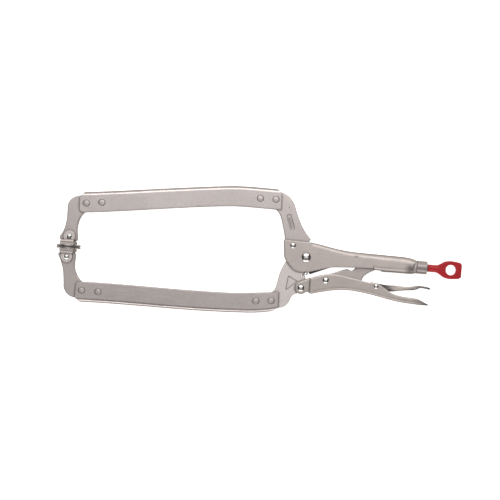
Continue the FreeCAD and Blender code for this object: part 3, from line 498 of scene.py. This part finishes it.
def skin(bm, rings):
    """Joins closed rings of points with faces, each ring to the next, and gives the rings of vertices."""
    rows = [[bm.verts.new(point) for point in ring] for ring in rings]
    for row, following in zip(rows, rows[1:]):
        for i in range(len(row)):
            bm.faces.new((row[i - 1], row[i], following[i], following[i - 1]))
    return rows


def fan(bm, row):
    """Closes a ring of vertices with triangles round its middle."""
    middle = bm.verts.new(sum((vertex.co for vertex in row), Vector()) / len(row))
    for i in range(len(row)):
        bm.faces.new((middle, row[i - 1], row[i]))


def finished_object(name, bm, material):
    """A smooth-shaded object in the scene, from a mesh that is still being edited."""
    bmesh.ops.recalc_face_normals(bm, faces=bm.faces)
    mesh = bpy.data.meshes.new(name)
    bm.to_mesh(mesh)
    bm.free()
    for polygon in mesh.polygons:
        polygon.use_smooth = True
    mesh.materials.append(material)
    obj = bpy.data.objects.new(name, mesh)
    bpy.context.scene.collection.objects.link(obj)
    return obj


def tube_piece(name, rings, slot):
    """A new piece, closed at both ends, from rings of points along it."""
    bm = bmesh.new()
    rows = skin(bm, rings)
    fan(bm, rows[0])
    fan(bm, rows[-1])
    piece = finished_object(name, bm, SLOT_MATERIALS[slot])
    return piece


# ---- adjusting screw ---------------------------------------------------------------------------

THREAD_PITCH = 0.0015
THREAD_MAJOR = 0.0039
THREAD_MINOR = 0.0033
THREAD_STEPS = 32
THREAD_ROWS_PER_TURN = 12
FLANK_SLOPE = 2.6

# The inner end, which tapers to a blunt point just short of the plain rod's.
ROD_INSET = 0.0002
POINT_RADIUS = THREAD_MINOR - 0.0004
POINT_TAPER = 0.35


def thread_radius(along, around, start):
    """The screw's radius at a distance along its axis and a part of a turn round it."""
    phase = (along / THREAD_PITCH - around) % 1.0
    depth = min(1.0, abs(phase - 0.5) * FLANK_SLOPE)
    thread = THREAD_MAJOR - (THREAD_MAJOR - THREAD_MINOR) * depth
    return min(thread, POINT_RADIUS + POINT_TAPER * (along - start))


def make_threaded_screw():
    """The adjusting screw with its rolled thread, cut as a helix round the axis."""
    start = (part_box("adjusting_screw")[0][0] - SCREW_ORIGIN.x) / SCREW_AXIS.x + ROD_INSET
    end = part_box("screw_loop")[0][0] - SCREW_ORIGIN.x
    side = SCREW_AXIS.cross(UP).normalized()
    up = SCREW_AXIS.cross(side).normalized()
    row_step = THREAD_PITCH / THREAD_ROWS_PER_TURN
    rings = []
    for row in range(int((end - start) / row_step) + 1):
        along = start + row * row_step
        centre = SCREW_ORIGIN + SCREW_AXIS * along
        rings.append([centre + (side * math.cos(angle) + up * math.sin(angle))
                      * thread_radius(along, angle / (2 * math.pi), start) for angle in circle(THREAD_STEPS)])
    screw = tube_piece("threaded_screw", rings, "screw_steel")
    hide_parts("adjusting_screw")
    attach(screw, "screw")


# ---- return spring -----------------------------------------------------------------------------

WIRE_R = 0.00042
WIRE_SIDES = 8
END_RING_TURN = 1.7 * math.pi

# The hook on the jaw: its hole, the ring in front of the plate, and how high the wire stands over them.
HOOK_HOLE = MAIN_PIVOT + Vector((-0.0034, -0.0203, 0.0))
HOOK_RING = MAIN_PIVOT + Vector((0.0009, -0.0184, 0.0))
HOOK_RING_R = 0.0016
HOOK_STEPS = 26
HOOK_SINK = 0.55
HOLE_SHARES = (-1.0, -0.5, 0.0, 0.6, 0.92)
PLATE_FACE = 0.00475
WIRE_CLEARANCE = 0.0006

COIL_R = 0.0024
COIL_PITCH = 0.00118
COIL_STEPS = 14
COIL_START = 2.2 * HOOK_RING_R

PIN_RING_R = 0.0018
PIN_STEPS = 21
PIN_CLEARANCE = 0.0040


def smoothed(points):
    """Takes the corners off where one part of the wire's path runs into the next."""
    for _ in range(2):
        middle = [(a + b * 2 + c) / 4 for a, b, c in zip(points, points[1:], points[2:])]
        points = [points[0]] + middle + [points[-1]]
    return points


def spring_path(anchor, along):
    """The wire's centre line.

    It goes through the jaw's hole, round a ring in front of the jaw's plate, along the close coils at the
    clamp's mid depth and round the pin at the anchor.
    """
    side = UP.cross(along).normalized()
    front = UP * (PLATE_FACE + WIRE_CLEARANCE)
    points = [HOOK_HOLE + front * share for share in HOLE_SHARES]
    entry = (HOOK_HOLE - HOOK_RING).normalized()
    entry_side = UP.cross(entry).normalized()
    for step in range(HOOK_STEPS + 1):
        angle = -END_RING_TURN * step / HOOK_STEPS
        height = front * (1.0 - HOOK_SINK * step / HOOK_STEPS)
        round_ring = entry * math.cos(angle) + entry_side * math.sin(angle)
        points.append(HOOK_RING + round_ring * HOOK_RING_R + height)
    coil_length = (anchor - HOOK_RING).length - PIN_CLEARANCE - COIL_START
    count = int(coil_length / COIL_PITCH)
    steps = count * COIL_STEPS
    for step in range(steps + 1):
        angle = 2 * math.pi * count * step / steps
        place = HOOK_RING + along * (COIL_START + coil_length * step / steps)
        points.append(place + (side * math.sin(angle) + UP * math.cos(angle)) * COIL_R)
    for step in range(1, PIN_STEPS + 1):
        angle = math.pi - END_RING_TURN * step / PIN_STEPS
        points.append(anchor + (along * math.cos(angle) + side * math.sin(angle)) * PIN_RING_R)
    return smoothed(points)


def tube_rings(points, radius, sides):
    """Rings of points round a path, turned as little as possible from each to the next."""
    rings = []
    normal = None
    for i, centre in enumerate(points):
        ahead = points[min(i + 1, len(points) - 1)]
        behind = points[max(i - 1, 0)]
        tangent = (ahead - behind).normalized()
        if normal is None:
            normal = tangent.orthogonal().normalized()
        else:
            normal = (normal - tangent * normal.dot(tangent)).normalized()
        other = tangent.cross(normal)
        rings.append([centre + (normal * math.cos(angle) + other * math.sin(angle)) * radius
                      for angle in circle(sides)])
    return rings


def make_return_spring():
    """The extension spring from the lower jaw to its pin in the fixed handle, wound from one wire."""
    pin = box_centre("spring_anchor_pin")
    anchor = Vector((pin.x, pin.y, MIDDLE_Z))
    along = (anchor - HOOK_RING).normalized()
    rings = tube_rings(spring_path(anchor, along), WIRE_R, WIRE_SIDES)
    spring = tube_piece("coil_spring", rings, "spring_steel")
    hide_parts("return_spring")
    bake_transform(spring)


# ---- floor, light and camera -------------------------------------------------------------------

# Radius and height of each ring of the floor's mesh.
FLOOR_RINGS = ((1.2, 0.0), (2.6, 0.0), (3.2, 0.06), (3.7, 0.26), (4.0, 0.6), (4.1, 0.95))
FLOOR_SIDES = 72


def make_floor():
    """A pale floor whose far rim curls up, so that it fills every low view."""
    bm = bmesh.new()
    rows = skin(bm, [[(radius * math.cos(angle), radius * math.sin(angle), height)
                      for angle in circle(FLOOR_SIDES)] for radius, height in FLOOR_RINGS])
    fan(bm, rows[0])
    finished_object("floor", bm, floor_paint())


DOME_LIGHT = 0.30
DOME_FILL = 0.04

# The dome's light at the horizon and at the two ends of X, and the Z and X over which it changes.
HORIZON_SHARE = 0.30
END_SHARE = 0.05
HORIZON_FADE = (0.05, 0.45)
END_FADE = (0.35, 0.75)


def make_world():
    """Studio dome: brighter overhead than at the horizon, and dark at the two ends of X."""
    world = bpy.data.worlds.new("studio")
    bpy.context.scene.world = world
    n = Tree(world)
    direction = n.add("TexCoord").outputs["Generated"]
    height = n.component(direction, "Z")
    lengthwise = n.math("ABSOLUTE", n.component(direction, "X"))
    overhead = n.spread(height, HORIZON_SHARE, 1.0, *HORIZON_FADE, interpolation_type="SMOOTHSTEP")
    sideways = n.spread(lengthwise, 1.0, END_SHARE, *END_FADE, interpolation_type="SMOOTHSTEP")
    glow = n.times(n.times(sideways, overhead), DOME_LIGHT)
    background = n.add("Background", {"Color": STUDIO_WHITE, "Strength": n.math("ADD", glow, DOME_FILL)})
    n.add("OutputWorld", {"Surface": background.outputs["Background"]})


def make_softbox(name, size, place, aim, radiance):
    """A rectangular lamp of a given brightness, seen in reflections but not by the camera."""
    data = bpy.data.lights.new(name, "AREA")
    data.shape = "RECTANGLE"
    data.size, data.size_y = size
    data.energy = radiance * math.pi * size[0] * size[1]
    data.color = STUDIO_WHITE
    light = bpy.data.objects.new(name, data)
    bpy.context.scene.collection.objects.link(light)
    light.location = place
    direction = Vector(aim) - Vector(place)
    light.rotation_euler = direction.to_track_quat("-Z", "Y").to_euler()
    light.visible_camera = False


def make_lights():
    """A ceiling, a bar on each side of the clamp and a small one near its upper arm."""
    floor_centre = (0.0, 0.0, 0.0)
    clamp_centre = (0.0, 0.0, MIDDLE_Z)
    upper_arm = (0.0, 0.05, MIDDLE_Z)
    make_softbox("ceiling", size=(1.9, 1.0), place=(0.0, 0.22, 2.2), aim=floor_centre, radiance=0.78)
    make_softbox("upper_bar", size=(1.3, 0.50), place=(0.0, 0.68, 0.80), aim=clamp_centre, radiance=2.8)
    make_softbox("lower_bar", size=(1.3, 0.24), place=(0.0, -0.85, 0.38), aim=clamp_centre, radiance=4.0)
    make_softbox("near_bar", size=(0.7, 0.14), place=(0.0, 0.30, 0.62), aim=upper_arm, radiance=1.2)


CAMERA_HEIGHT = 1.45
CAMERA_ROLL = math.radians(3.9)
CAMERA_DROP = 0.012
CAMERA_AIM = (-0.0108, 0.0004)

# How wide the picture is at the clamp's mid depth.
PICTURE_WIDTH = 0.563
SENSOR_MM = 36.0


def make_camera():
    """A camera almost straight above the clamp, rolled a little and set back towards -Y by the drop."""
    data = bpy.data.cameras.new("camera")
    data.sensor_width = SENSOR_MM
    data.lens = SENSOR_MM * CAMERA_HEIGHT / PICTURE_WIDTH
    camera = bpy.data.objects.new("camera", data)
    bpy.context.scene.collection.objects.link(camera)
    back = Vector((math.sin(CAMERA_ROLL), -math.cos(CAMERA_ROLL), 0.0)) * CAMERA_DROP
    camera.location = Vector((*CAMERA_AIM, MIDDLE_Z + CAMERA_HEIGHT)) + back
    camera.rotation_euler = (math.atan2(CAMERA_DROP, CAMERA_HEIGHT), 0.0, CAMERA_ROLL)
    bpy.context.scene.camera = camera


bpy.context.scene.view_settings.view_transform = "Standard"
dress_cad_nodes()
make_threaded_screw()
make_return_spring()
make_floor()
make_world()
make_lights()
make_camera()
